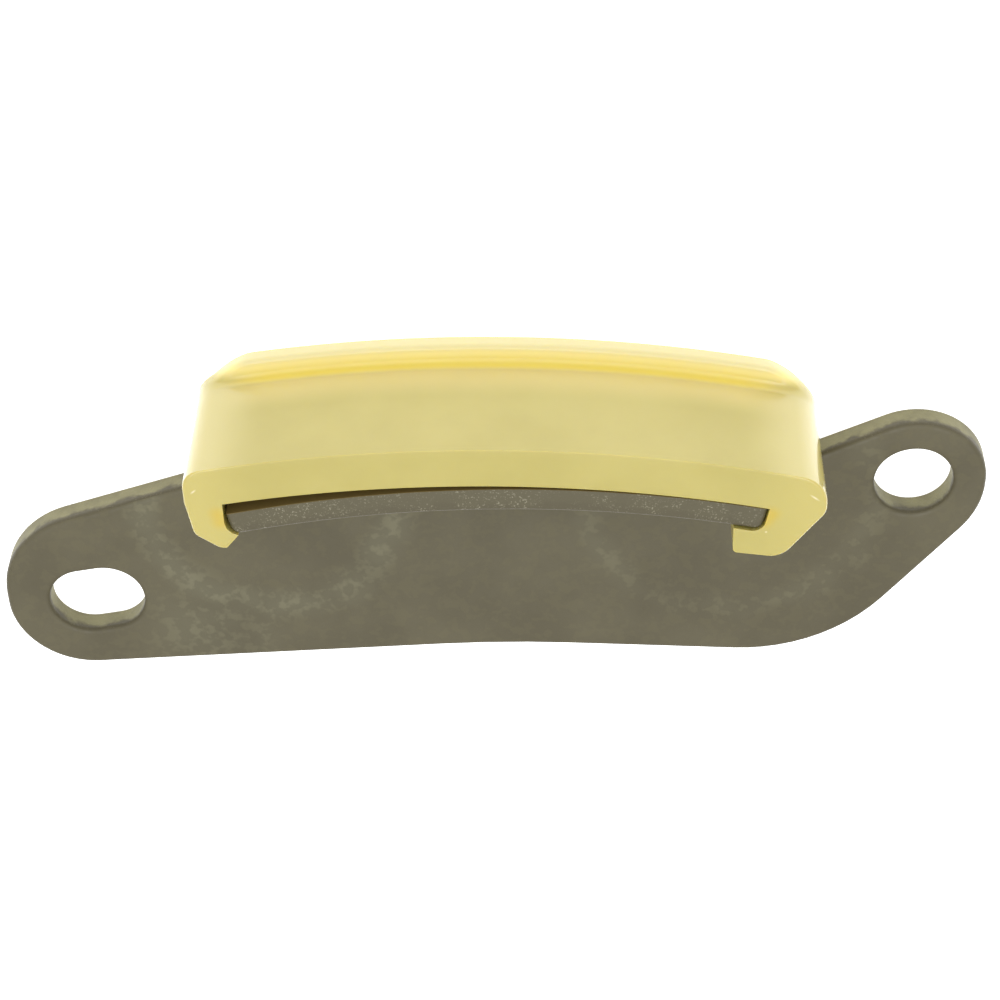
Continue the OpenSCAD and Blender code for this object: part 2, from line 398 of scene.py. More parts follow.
def mottle_group() -> bpy.types.NodeTree:
    """Builds the group for cloudy patches: two masks of noise, broad clouds and fine spots.

    Returns:
        The node group.
    """
    board, given, out = new_group("cloudy_mottle", [
        GroupSocket("Vector", "Vector"),
        GroupSocket("Cloud Scale", "Float"), GroupSocket("Spot Scale", "Float"),
        GroupSocket("Clouds", "Float", True), GroupSocket("Spots", "Float", True)])
    for name, detail, contrast in (("Cloud", 4.0, (0.3, 0.7)), ("Spot", 2.0, (0.35, 0.7))):
        noise = board.noise(given["Vector"], given[name + " Scale"], detail)
        board.plug(out.inputs[name + "s"], board.step(noise.outputs[0], *contrast))
    return board.tree


def grain_group() -> bpy.types.NodeTree:
    """Builds the group for fine surface grain: one height for bump.

    Returns:
        The node group.
    """
    board, given, out = new_group("fine_grain", [
        GroupSocket("Vector", "Vector"), GroupSocket("Scale", "Float"),
        GroupSocket("Height", "Float", True)])
    grain = board.noise(given["Vector"], given["Scale"], detail=3.0)
    board.plug(out.inputs["Height"], grain.outputs[0])
    return board.tree


@dataclass(frozen=True)
class Mark:
    """A soft mark along a sphere, or within it when its radius is 0; sizes are in metres."""

    centre: Place
    radius: float
    width: float

    def mask(self, board: NodeBoard, place: Socket) -> Socket:
        """Gives the mark's mask.

        Args:
            board: The material's board.
            place: Where the shaded point lies.

        Returns:
            The mask, 1 on the sphere and 0 at the mark's width from it.
        """
        arm = board.vectors("DISTANCE", place, self.centre).outputs["Value"]
        off = board.sum("SUBTRACT", arm, self.radius, held=False)
        return board.step(board.sum("ABSOLUTE", off), self.width, 0.0)


@dataclass(frozen=True)
class Nick:
    """A short nick in a front face, a real mould mark whose pale stroke is a painted glint: its
    middle in metres, its angle in degrees, half its length.
    """

    middle: Place
    angle: float
    half: float
    width: float = 0.00018

    def mask(self, board: NodeBoard, place: Socket) -> Socket:
        """Gives a soft mask along the nick.

        Args:
            board: The material's board.
            place: Where the shaded point lies.

        Returns:
            The mask.
        """
        laid = board.add("ShaderNodeMapping", {"vector_type": "TEXTURE"}, Vector=place,
                         Location=self.middle, Rotation=(0.0, 0.0, math.radians(self.angle)),
                         Scale=(self.half, self.width, self.width))
        return Mark((0.0, 0.0, 0.0), 0.0, 1.0).mask(board, laid.outputs["Vector"])


@dataclass(frozen=True)
class Finish:
    """What every finish shares: its name and the two groups that it places."""

    name: str
    mottle: bpy.types.NodeTree
    grain: bpy.types.NodeTree

    def start(self) -> tuple[Material, NodeBoard, Node]:
        """Makes an empty material.

        Returns:
            The material, the board for its nodes and its Principled BSDF.
        """
        material = bpy.data.materials.new(self.name)
        material.use_nodes = True
        nodes = material.node_tree.nodes
        return material, NodeBoard(material.node_tree), nodes["Principled BSDF"]

    def roughen(self, board: NodeBoard, shader: Node, grit: Grit) -> None:
        """Gives a shader fine bump.

        Args:
            board: The material's board.
            shader: The shader whose normal is bumped.
            grit: The grain's scale in 1/m, the bump's strength and the grain's depth in metres.
        """
        scale, strength, depth = grit
        grain = board.place(self.grain, Vector=board.object_coords(), Scale=scale)
        bump = board.add("ShaderNodeBump", Strength=strength, Distance=depth,
                         Height=grain.outputs["Height"])
        board.plug(shader.inputs["Normal"], bump.outputs["Normal"])


@dataclass(frozen=True)
class Phosphate(Finish):
    """Dull phosphate coat on the sheet's rolled faces, with the pale tide marks of dried oil and a
    painted reflection of the nylon, warm brown, on the flange's upper face under the shoe.

    Places and lengths are in metres and scales in 1/m. A mask that is thinned out is multiplied by
    the first of two numbers, and the second is added.
    """

    dark: Colour = (0.063, 0.0535, 0.026)
    light: Colour = (0.077, 0.0665, 0.034)
    spot: Colour = (0.15, 0.137, 0.083)
    tide: Colour = (0.108, 0.102, 0.06)
    # Painted reflection: warm brown light bounced from the nylon onto the flange's upper face.
    painted_nylon_bounce: Colour = (0.15, 0.105, 0.032)
    cloud_scale: float = 110.0
    spot_scale: float = 800.0
    wander_scale: float = 140.0
    wander_reach: Place = (0.004, 0.004, 0.0)
    toe_tide: Mark = Mark((-0.0725, -0.001, 0.003), 0.0146, 0.0032)
    heel_tide: Mark = Mark((-0.0188, 0.0, 0.003), 0.0165, 0.0028)
    heel_tide_share: float = 0.5
    patch: Mark = Mark((-0.0806, -0.02, 0.003), 0.0, 0.01)
    fleck_range: Range = (0.2, 1.0)
    cloud_thinning: Range = (0.6, 0.2)
    fleck_thinning: Range = (0.45, 0.55)
    spot_thinning: Range = (0.4, 0.14)
    upper_face: Range = (0.8, 0.95)
    flange_height: Range = (0.006, 0.009)
    roughness: Range = (0.2, 0.5)
    specular: float = 0.4
    grit: Grit = (4000.0, 0.2, 0.00005)

    def build(self) -> Material:
        """Builds the material.

        Returns:
            The material.
        """
        material, board, shader = self.start()
        place = board.object_coords()
        mottle = board.place(self.mottle, Vector=place, Cloud_Scale=self.cloud_scale,
                             Spot_Scale=self.spot_scale).outputs
        clouded = board.tint(mottle["Clouds"], self.dark, self.light)
        flecks = board.step(mottle["Spots"], *self.fleck_range)
        tides = self.tides(board, place, mottle["Clouds"])
        broken = board.sum("MULTIPLY_ADD", flecks, *self.fleck_thinning)
        colour = board.tint(board.sum("MULTIPLY", tides, broken), clouded, self.tide)
        spots = board.sum("MULTIPLY_ADD", tides, *self.spot_thinning)
        colour = board.tint(board.sum("MULTIPLY", flecks, spots), colour, self.spot)
        # Painted reflection of the nylon on the flange's upper face, where it lies under the shoe.
        upper = board.step(board.attribute(THROUGH_SHEET), *self.upper_face)
        height = board.add("ShaderNodeSeparateXYZ", Vector=place).outputs["Z"]
        painted_bounce_mask = board.sum("MULTIPLY", upper, board.step(height, *self.flange_height))
        board.plug(shader.inputs["Base Color"], board.tint(painted_bounce_mask, colour, self.painted_nylon_bounce))
        roughness = board.sum("MULTIPLY_ADD", mottle["Spots"], *self.roughness)
        board.plug(shader.inputs["Roughness"], roughness)
        shader.inputs["Specular IOR Level"].default_value = self.specular
        self.roughen(board, shader, self.grit)
        return material

    def tides(self, board: NodeBoard, place: Socket, clouds: Socket) -> Socket:
        """Gives the mask of the tide marks, whose lines wander and are broken by the clouds.

        Args:
            board: The material's board.
            place: Where the shaded point lies.
            clouds: The mottle's clouds.

        Returns:
            The mask.
        """
        wander = board.noise(place, self.wander_scale, detail=2.0).outputs["Color"]
        strayed = board.vectors("MULTIPLY_ADD", wander, self.wander_reach, place).outputs["Vector"]
        rings = board.sum("MULTIPLY_ADD", self.heel_tide.mask(board, strayed),
                          self.heel_tide_share, self.toe_tide.mask(board, strayed))
        marks = board.sum("MAXIMUM", rings, self.patch.mask(board, strayed))
        return board.sum("MULTIPLY", marks, board.sum("MULTIPLY_ADD", clouds, *self.cloud_thinning))


@dataclass(frozen=True)
class ShearedEdge(Finish):
    """Cut edge of the sheet: a dark rolled lip at the front, then a lighter, ragged broken band. On
    the flange's cut edge that band is painted darker as shade, and painted glints stand for the
    sparkle of its grains.

    Lengths are in metres and scales in 1/m. A mask that is thinned out is multiplied by the first
    of two numbers, and the second is added.
    """

    rolled: Colour = (0.066, 0.056, 0.028)
    broken: Colour = (0.18, 0.165, 0.075)
    # Painted shade: the band's darker copy for the flange's cut edge, which faces the front and
    # gets less light.
    flange: Colour = (0.075, 0.065, 0.033)
    # Painted highlight: the glints of sparkling grains.
    glint: Colour = (0.3, 0.28, 0.2)
    cloud_scale: float = 420.0
    spot_scale: float = 5200.0
    ragged: float = 0.28
    broken_band: Range = (0.32, 0.6)
    flange_height: Range = (0.008, 0.012)
    band_thinning: Range = (0.35, 0.65)
    glint_range: Range = (0.8, 1.0)
    glint_thinning: Range = (0.45, 0.15)
    roughness: float = 0.55
    specular: float = 0.4
    grit: Grit = (2500.0, 0.4, 0.0001)

    def build(self) -> Material:
        """Builds the material.

        Returns:
            The material.
        """
        material, board, shader = self.start()
        place = board.object_coords()
        mottle = board.place(self.mottle, Vector=place, Cloud_Scale=self.cloud_scale,
                             Spot_Scale=self.spot_scale).outputs
        through = board.attribute(THROUGH_SHEET)
        ragged = board.sum("MULTIPLY_ADD", mottle["Clouds"], self.ragged, through)
        band = board.step(ragged, *self.broken_band)
        height = board.add("ShaderNodeSeparateXYZ", Vector=place).outputs["Z"]
        folded = board.step(height, *self.flange_height)
        # Painted shade: on the flange the broken band takes its darker copy.
        colour = board.tint(folded, self.broken, self.flange)
        shade = board.sum("MULTIPLY_ADD", mottle["Clouds"], *self.band_thinning)
        colour = board.tint(board.sum("MULTIPLY", band, shade), self.rolled, colour)
        # Painted highlights: glints of sparkling grains, more of them on the flange.
        bright = board.step(mottle["Spots"], *self.glint_range)
        glints = board.sum("MULTIPLY", bright, mottle["Clouds"])
        share = board.sum("MULTIPLY_ADD", folded, *self.glint_thinning)
        glints = board.sum("MULTIPLY", glints, share)
        board.plug(shader.inputs["Base Color"], board.tint(glints, colour, self.glint))
        shader.inputs["Roughness"].default_value = self.roughness
        shader.inputs["Specular IOR Level"].default_value = self.specular
        self.roughen(board, shader, self.grit)
        return material


@dataclass(frozen=True)
class Nylon(Finish):
    """Natural nylon: straw and a little translucent, with painted light and shade in its colour.

    Places and lengths are in metres and scales in 1/m. The painted light on the running face beside
    the rim and the painted glow line at the rim's root lie by their height, and the rim's painted
    glow by how far a point stands up on it. The ends are painted lighter, the spots beside the
    pockets are painted shade, and the pale strokes of the nicks are painted glints on real mould
    marks.
    """

    body: Colour = (0.372, 0.318, 0.085)
    pale: Colour = (0.405, 0.348, 0.102)
    # Painted light: lifts the shade on the running face near the rim.
    corner: Colour = (0.58, 0.483, 0.2)
    # Painted light: the glowing line at the rim's root.
    painted_root_glow: Colour = (0.69, 0.55, 0.083)
    # Painted light, these two: the thin rim's glow and its whitish crest.
    painted_rim_glow: Colour = (0.765, 0.66, 0.265)
    crest: Colour = (0.61, 0.545, 0.285)
    # Painted light: the shoe's ends, lighter where the side light falls.
    ends: Colour = (0.425, 0.357, 0.085)
    # Painted shade: the deeper amber of the nylon beside the steel in the pockets.
    painted_pocket_shade: Colour = (0.46, 0.33, 0.02)
    # Painted glint: the pale stroke of a real mould mark.
    nick: Colour = (0.62, 0.56, 0.33)
    cloud_scale: float = 90.0
    middle: float = -0.0466
    ends_reach: Range = (0.034, 0.026)
    root_light_height: Range = (0.0085, 0.0025)
    root_glow_height: Range = (0.0032, 0.0025)
    thin_glow: Range = (0.05, 0.65)
    crest_glow: Range = (0.6, 1.0)
    pocket_shade_spots: tuple[Place, ...] = (
        (-0.0779, 0.0083, 0.018), (-0.0777, 0.0071, 0.018), (-0.0175, 0.0075, 0.018),
        (-0.0182, 0.0065, 0.018))
    pocket_shade_r: float = 0.0015
    pocket_shade_share: float = 0.75
    nicks: tuple[Nick, ...] = (
        Nick((-0.08024, 0.01141, 0.018), 42, 0.00055),
        Nick((-0.01292, 0.00972, 0.018), -38.6, 0.0009),
        Nick((-0.01803, 0.00505, 0.018), 0, 0.0002))
    roughness: float = 0.38
    coat_roughness: float = 0.08
    glow_weight: float = 0.6
    glow_spread: Colour = (1.0, 0.8, 0.35)
    glow_depth: float = 0.0006
    grit: Grit = (1600.0, 0.1, 0.00006)

    def build(self) -> Material:
        """Builds the material.

        Returns:
            The material.
        """
        material, board, shader = self.start()
        place = board.object_coords()
        axes = board.add("ShaderNodeSeparateXYZ", Vector=place).outputs
        mottle = board.place(self.mottle, Vector=place, Cloud_Scale=self.cloud_scale).outputs
        aside = board.sum("SUBTRACT", axes["X"], self.middle, held=False)
        inner = board.step(board.sum("ABSOLUTE", aside), *self.ends_reach)
        outer = board.sum("SUBTRACT", 1.0, inner)
        colour = board.tint(mottle["Clouds"], self.body, self.pale)
        # Painted light: the ends are tinted lighter.
        colour = board.tint(outer, colour, self.ends)
        # Painted shade in soft spots beside the pockets.
        for spot in self.pocket_shade_spots:
            soft = Mark(spot, 0.0, self.pocket_shade_r).mask(board, place)
            colour = board.tint(board.sum("MULTIPLY", soft, self.pocket_shade_share), colour, self.painted_pocket_shade)
        # Painted glints on the nicks.
        for nick in self.nicks:
            colour = board.tint(nick.mask(board, place), colour, self.nick)
        # Painted light beside the rim: the lifted corner, then the glowing root line.
        for levels, deep in ((self.root_light_height, self.corner), (self.root_glow_height, self.painted_root_glow)):
            beside_rim = board.sum("MULTIPLY", board.step(axes["Z"], *levels), inner)
            colour = board.tint(beside_rim, colour, deep)
        # Painted light: the rim's glow and crest, by how far a point stands up on it.
        glow = board.attribute(RIM_GLOW)
        for levels, lit in ((self.thin_glow, self.painted_rim_glow), (self.crest_glow, self.crest)):
            colour = board.tint(board.step(glow, *levels), colour, lit)
        board.plug(shader.inputs["Base Color"], colour)
        board.plug(shader.inputs["Coat Weight"], outer)
        shader.inputs["Coat Roughness"].default_value = self.coat_roughness
        shader.inputs["Roughness"].default_value = self.roughness
        shader.inputs["Subsurface Weight"].default_value = self.glow_weight
        shader.inputs["Subsurface Radius"].default_value = self.glow_spread
        shader.inputs["Subsurface Scale"].default_value = self.glow_depth
        self.roughen(board, shader, self.grit)
        return material


@dataclass(frozen=True)
class Flange:
    """The flange that is folded up from the plate along an arc, and that the shoe clips over."""

    sheet: float = 3.0
    bend: float = 3.0
    radius: float = 138.0
    length: float = 59.26
    run: float = 47.48
    rise: float = 8.15
    height: float = 17.8
    corner_r: float = 0.6
    roll_r: float = 1.3
    toe_roll_r: float = 1.4
    front_roll: float = 0.56

    @property
    def upper_r(self) -> float:
        """Radius of the upper face."""
        return self.radius + self.sheet

    @property
    def root_r(self) -> float:
        """Radius at which the plate ends and the bend starts."""
        return self.radius - self.bend

    @property
    def centre(self) -> Vector:
        """Centre of the arc that the flange follows."""
        return Vector((-self.run, self.rise - self.radius))

    @property
    def half(self) -> float:
        """Half the angle that the flange spans."""
        return math.asin(self.length / 2 / self.upper_r)

    def along(self, angle: float) -> Vector:
        """Direction from the arc's centre at an angle from its middle, towards the heel."""
        return Vector((math.sin(angle), math.cos(angle)))

    def at(self, angle: float, radius: float) -> Vector:
        """Point at an angle from the flange's middle and a distance from the arc's centre."""
        return self.centre + self.along(angle) * radius


@dataclass
class Bracket:
    """The stamped and folded steel bracket."""

    flange: Flange
    hole_d: float = 9.0
    ear_r: float = 8.3
    ear_slope: float = math.radians(24.6)
    ear_skirt: float = 4.15
    ear_skirt_r: float = 11.0
    slot: Vector = field(default_factory=lambda: Vector((-96.3, -16.7)))
    slot_w: float = 9.0
    slot_len: float = 11.4
    slot_edge: float = 5.1
    foot_slope: float = math.radians(18.1)
    foot_top: float = 12.4
    foot_base: float = 10.5
    foot_top_r: float = 11.8
    foot_base_r: float = 9.5
    arch_drop: float = 24.0
    arch_r: float = 150.0
    keel: Vector = field(default_factory=lambda: Vector((-9.2, -26.0)))
    keel_r: float = 21.0
    relief_w: float = 1.5
    relief_d: float = 1.4
    die_roll: float = 0.6
    burr: float = 0.12
    cut_corner: float = 0.25
    edge_band: float = 0.8
    fold_steps: int = 24
    bend_steps: int = 10
    hole_steps: int = 96
    through_least: float = 0.5
    upright_least: float = 1.0

    @property
    def slot_lie(self) -> float:
        """Angle of the slot, which lies in line with the locating hole."""
        return math.atan2(-self.slot.y, -self.slot.x)

    @property
    def foot_x(self) -> float:
        """Outer end of the foot."""
        spread = self.slot_w + (self.slot_len - self.slot_w) * math.cos(self.slot_lie)
        return self.slot.x - spread / 2 - self.slot_edge

    def shoulder(self, end: End, x: float) -> Vector:
        """Finds a point on the shoulder beside the ear or above the slot.

        Args:
            end: Which shoulder.
            x: The point's place along X.

        Returns:
            The point.
        """
        if end is End.HEEL:
            rise = self.ear_r + x * math.sin(self.ear_slope)
            return Vector((x, rise / math.cos(self.ear_slope)))
        rise = self.foot_top + (x - self.slot.x) * math.sin(self.foot_slope)
        return Vector((x, self.slot.y + rise / math.cos(self.foot_slope)))

    def shoulder_root(self, end: End, angle: float) -> Vector:
        """Point where a shoulder meets a line from the fold's centre.

        Args:
            end: Which shoulder.
            angle: Angle of the line from the flange's middle, towards the heel.

        Returns:
            The point.
        """
        slope = self.ear_slope if end is End.HEEL else self.foot_slope
        normal = Vector((-math.sin(slope), math.cos(slope)))
        ray = self.flange.along(angle)
        gap = normal.dot(self.shoulder(end, 0.0) - self.flange.centre)
        return self.flange.centre + ray * (gap / normal.dot(ray))

    def scribe_outline(self, bm: BMesh) -> None:
        """Scribes the plate's outer edge at the height of its front face.

        Args:
            bm: The bmesh that takes the edges.
        """
        flange = self.flange
        foot_base = Vector((self.foot_x, self.slot.y - self.foot_base))
        arch = Vector((-flange.run, -self.arch_drop))
        skirt = Vector((self.ear_r, -self.ear_skirt))
        relief = flange.half + math.asin(self.relief_w / flange.root_r)
        relief_r = flange.root_r - self.relief_d
        heel_root = self.shoulder_root(End.HEEL, relief)
        pen = Scriber(bm, Vector((self.foot_x, self.slot.y)), flange.sheet)
        pen.corner(foot_base, arch, self.foot_base_r)
        pen.corner(arch, self.keel, self.arch_r)
        pen.corner(self.keel, skirt, self.keel_r)
        pen.corner(skirt, self.shoulder(End.HEEL, self.ear_r), self.ear_skirt_r)
        pen.corner(self.shoulder(End.HEEL, self.ear_r), heel_root, self.ear_r)
        pen.line(heel_root)
        pen.line(flange.at(relief, relief_r))
        pen.line(flange.at(flange.half, relief_r))
        pen.line(flange.at(flange.half, flange.root_r))
        pen.arc(flange.centre, flange.at(-flange.half, flange.root_r), self.fold_steps)
        pen.line(flange.at(-flange.half, relief_r))
        pen.line(flange.at(-relief, relief_r))
        pen.line(self.shoulder_root(End.TOE, -relief))
        pen.corner(self.shoulder(End.TOE, self.foot_x), foot_base, self.foot_top_r)
        pen.close()

    def scribe_holes(self, bm: BMesh) -> None:
        """Scribes the round hole and the slot at the height of the front face.

        Args:
            bm: The bmesh that takes the edges.
        """
        lift = Matrix.Translation((0, 0, self.flange.sheet))
        bmesh.ops.create_circle(bm, radius=self.hole_d / 2, segments=self.hole_steps, matrix=lift)
        along = Vector((math.cos(self.slot_lie), math.sin(self.slot_lie)))
        across = along.orthogonal()
        far = self.slot + along * (self.slot_len - self.slot_w) / 2
        near = self.slot - along * (self.slot_len - self.slot_w) / 2
        half_w = self.slot_w / 2
        pen = Scriber(bm, far - across * half_w, self.flange.sheet)
        pen.arc(far, far + along * half_w)
        pen.arc(far, far + across * half_w)
        pen.line(near + across * half_w)
        pen.arc(near, near - along * half_w)
        pen.arc(near, near - across * half_w)
        pen.close()

    def build_plate(self, bm: BMesh) -> None:
        """Blanks the plate and opens its edge where the bend takes over.

        Args:
            bm: The bmesh that takes the plate.
        """
        flange = self.flange
        self.scribe_outline(bm)
        self.scribe_holes(bm)
        bmesh.ops.triangle_fill(bm, use_beauty=True, edges=bm.edges, normal=(0, 0, 1))
        lay_band(bm, list(bm.faces), self.edge_band)
        extrude_down(bm, list(bm.faces), flange.sheet, keep=True)
        at_root = {vert for vert in bm.verts
                   if abs((vert.co.to_2d() - flange.centre).length - flange.root_r) < WELD}
        inner = [face for face in bm.faces if at_root.issuperset(face.verts)]
        bmesh.ops.delete(bm, geom=inner, context="FACES_KEEP_BOUNDARY")

    def build_fold(self, bm: BMesh) -> None:
        """Sweeps the section of bend and flange along the fold's arc and closes its ends.

        Args:
            bm: The bmesh that holds the plate.
        """
        flange = self.flange
        top = flange.sheet + flange.bend
        bend_c = Vector((flange.root_r, top))
        known = set(bm.verts)
        pen = Scriber(bm, Vector((flange.root_r, 0)))
        pen.arc(bend_c, Vector((flange.upper_r, top)), self.bend_steps)
        pen.line(Vector((flange.upper_r, flange.height)))
        pen.line(Vector((flange.radius, flange.height)))
        pen.line(Vector((flange.radius, top)))
        pen.arc(bend_c, Vector((flange.root_r, flange.sheet)), self.bend_steps)
        section = [vert for vert in bm.verts if vert not in known]
        ray = flange.along(flange.half).to_3d()
        stand = Matrix((ray, (0, 0, 1), ray.cross((0, 0, 1)))).transposed().to_4x4()
        stand.translation = flange.centre.to_3d()
        bmesh.ops.transform(bm, matrix=stand, verts=section)
        bmesh.ops.spin(bm, geom=[*section, *pen.drawn()], cent=flange.centre.to_3d(),
                       axis=(0, 0, 1), angle=2 * flange.half, steps=self.fold_steps)
        weld(bm)
        bmesh.ops.holes_fill(bm, edges=[edge for edge in bm.edges if edge.is_boundary])
        weld(bm)

    def depth_in_sheet(self, place: Vector) -> float:
        """Tells how deep a point of the mesh lies in the sheet.

        Args:
            place: The point.

        Returns:
            0 on the side of the front face and the flange's lower face, 1 on the other side.
        """
        flange = self.flange
        arm = place.to_2d() - flange.centre
        top = flange.sheet + flange.bend
        beside = abs(math.atan2(arm.x, arm.y)) > flange.half + SNAP
        if beside or arm.length < flange.root_r + WELD:
            return 1 - place.z / flange.sheet
        if place.z > top - WELD:
            return (arm.length - flange.radius) / flange.sheet
        return (math.hypot(arm.length - flange.root_r, top - place.z) - flange.bend) / flange.sheet

    def edge_radius(self, edge: BMEdge, depths: list[float]) -> float:
        """Tells how far a sharp edge of the stamping is rounded.

        Args:
            edge: The edge.
            depths: How deep its two ends lie in the sheet.

        Returns:
            The radius.
        """
        flange = self.flange
        first, last = (vert.co for vert in edge.verts)
        low = min(first.z, last.z)
        if max(depths) - min(depths) > self.through_least:
            return flange.corner_r if low > flange.sheet + flange.bend else self.cut_corner
        if max(depths) > self.through_least:
            return self.burr
        if abs(first.z - last.z) > self.upright_least and low > flange.sheet:
            return flange.roll_r if first.x > -flange.run else flange.toe_roll_r
        return flange.front_roll if low > flange.sheet + flange.bend / 2 else self.die_roll

    def weigh_edges(self, bm: BMesh) -> float:
        """Sets how far each sharp edge is rounded and marks the sheared faces.

        Args:
            bm: The whole bracket.

        Returns:
            The radius that stands for a weight of 1.
        """
        most = self.flange.toe_roll_r
        weight = bm.edges.layers.float.new(BEVEL_WEIGHT)
        through = bm.verts.layers.float.new(THROUGH_SHEET)
        for vert in bm.verts:
            vert[through] = self.depth_in_sheet(vert.co)
        for edge in filter(is_sharp, bm.edges):
            depths = [vert[through] for vert in edge.verts]
            edge[weight] = self.edge_radius(edge, depths) / most
        for face in bm.faces:
            depths = [vert[through] for vert in face.verts]
            face.material_index = int(max(depths) - min(depths) > self.through_least)
        return most

    def build(self, face: Material, edge: Material) -> bpy.types.Object:
        """Builds and dresses the bracket.

        Args:
            face: Finish of the rolled faces.
            edge: Finish of the sheared edges.

        Returns:
            The finished piece.
        """
        bm = bmesh.new()
        self.build_plate(bm)
        self.build_fold(bm)
        rounding = self.weigh_edges(bm)
        return finished_piece(bm, "bracket", rounding, [face, edge])


@dataclass
class Hook:
    """One hook of the shoe: the place of its wall, and the lip that holds it under the flange."""

    end: End
    clear: float
    wall: float
    lip: float
    reach: float
    shoulder_r: float


@dataclass
class Shoe:
    """The moulded nylon shoe: a curved pad with a rim and two unlike hooks."""

    flange: Flange
    toe: Hook = field(default_factory=lambda: Hook(End.TOE, 0.14, 4.2, 1.25, 1.4, 2.6))
    heel: Hook = field(default_factory=lambda: Hook(End.HEEL, 0.08, 6.27, 3.35, 3.82, 3.8))
    pad: float = 4.9
    seat_ease: float = 17.7
    seat_lie: float = math.radians(11.9)
    seat_gap: float = 0.25
    front: float = 18.0
    back: float = 0.3
    lip_clear: float = 0.1
    lip_back: float = 6.3
    hook_back: float = 3.3
    toe_draft: float = 0.7
    toe_lean: float = 1.0
    toe_bevel: float = 1.9
    toe_flat: float = 0.9
    toe_r: float = 1.2
    toe_curl_r: float = 1.8
    heel_slope: float = math.radians(53)
    heel_drop: float = 4.1
    heel_r: float = 2.0
    heel_keel_r: float = 2.6
    heel_tip_r: float = 0.6
    rim_h: float = 2.5
    rim_t: float = 1.8
    rim_edge_r: float = 0.6
    rim_root_r: float = 1.0
    rim_end_r: float = 9.3
    rim_meet: float = math.radians(12)
    rim_least: float = 0.05
    rim_blend: float = 0.6
    edge_r: float = 0.36
    crisp_r: float = 0.04
    edge_band: float = 0.4
    run_steps: int = 96
    seat_steps: int = 48
    rim_steps: int = 4
    curl_steps: int = 3

    def __post_init__(self) -> None:
        """Works out the arcs and walls that the outlines share."""
        flange = self.flange
        self.seat_r = flange.upper_r + self.seat_ease
        self.run_r = self.seat_r + self.pad
        lean = flange.along(self.seat_lie)
        self.pad_c = flange.centre - lean * (self.seat_ease - self.seat_gap)
        self.lip_r = flange.radius - self.lip_clear
        self.band_levels = (self.front, self.hook_back, self.back)

    def inner_x(self, hook: Hook) -> float:
        """Place of a hook's inner wall along X."""
        return -self.flange.run + hook.end.value * (self.flange.length / 2 + hook.clear)

    def outer_x(self, hook: Hook) -> float:
        """Place of the shoe's end wall along X."""
        return self.inner_x(hook) + hook.end.value * hook.wall

    def on_arc(self, centre: Vector, radius: float, x: float) -> Vector:
        """Upper point of a circle at a place along X."""
        return Vector((x, centre.y + math.sqrt(radius ** 2 - (x - centre.x) ** 2)))

    def seat(self, x: float) -> Vector:
        """Point of the pad's underside at a place along X."""
        return self.on_arc(self.pad_c, self.seat_r, x)

    def lip(self, x: float) -> Vector:
        """Point of the lips' upper face at a place along X."""
        return self.on_arc(self.flange.centre, self.lip_r, x)

    def shoulder_c(self, hook: Hook, radius: float, face_r: float) -> Vector:
        """Centre of a rounding between a face about the pad's centre and an end wall.

        Args:
            hook: The hook under that end.
            radius: Radius of the rounding.
            face_r: Radius of the face.

        Returns:
            The centre.
        """
        x = self.outer_x(hook) - hook.end.value * radius
        return self.on_arc(self.pad_c, face_r - radius, x)

    def crossing(self, above: Vector, below: Vector) -> Vector:
        """Finds where a line crosses the pad's underside.

        Args:
            above: A point of the line over the underside.
            below: A point of the line under it.

        Returns:
            The point on the underside.
        """
        way = (below - above).normalized()
        arm = above - self.pad_c
        along = arm.dot(way)
        return above - way * (along + math.sqrt(along ** 2 - arm.length_squared + self.seat_r ** 2))

    def heel_wall(self) -> tuple[Vector, Vector, Vector, Vector]:
        """Works out the pocket's wall at the heel, which lies along the flange's end.

        Returns:
            Its top, its place at the flange's upper face, its foot where the curl starts, and the
            curl's centre.
        """
        flange = self.flange
        up = flange.along(flange.half)
        out = Vector((up.y, -up.x))
        radius = flange.roll_r + self.heel.clear
        curl_r = self.lip_r + radius
        curl_c = flange.at(flange.half - math.asin(flange.roll_r / curl_r), curl_r)
        base = flange.centre + out * self.heel.clear
        return (self.crossing(base + up * self.run_r, base), base + up * flange.upper_r,
                curl_c + out * radius, curl_c)

    def heel_chamfer(self) -> tuple[Vector, Vector, Vector]:
        """Works out the chamfer under the hook at the locating hole's end.

        Returns:
            Its upper end, the point where it meets the pad's underside, and its lower end.
        """
        inner, outer = self.inner_x(self.heel), self.outer_x(self.heel)
        low = self.lip(inner).y - self.heel.lip
        top = Vector((outer, self.seat(-self.flange.run).y - self.heel_drop))
        keel = Vector((outer - (top.y - low) / math.tan(self.heel_slope), low))
        return top, self.crossing(top, keel), keel

    def toe_side(self) -> tuple[Vector, Vector, Vector]:
        """Works out the outer side of the hook at the slot's end, which leans in below the pad.

        Returns:
            Where the lean starts, where it meets the pad's underside, and where it ends in the
            bevel.
        """
        inner, outer = self.inner_x(self.toe), self.outer_x(self.toe)
        lean = self.seat(outer) + Vector((0, self.toe_lean))
        bevel = Vector((outer + self.toe_draft, self.lip(inner).y - self.toe.lip + self.toe_bevel))
        return lean, self.crossing(lean, bevel), bevel

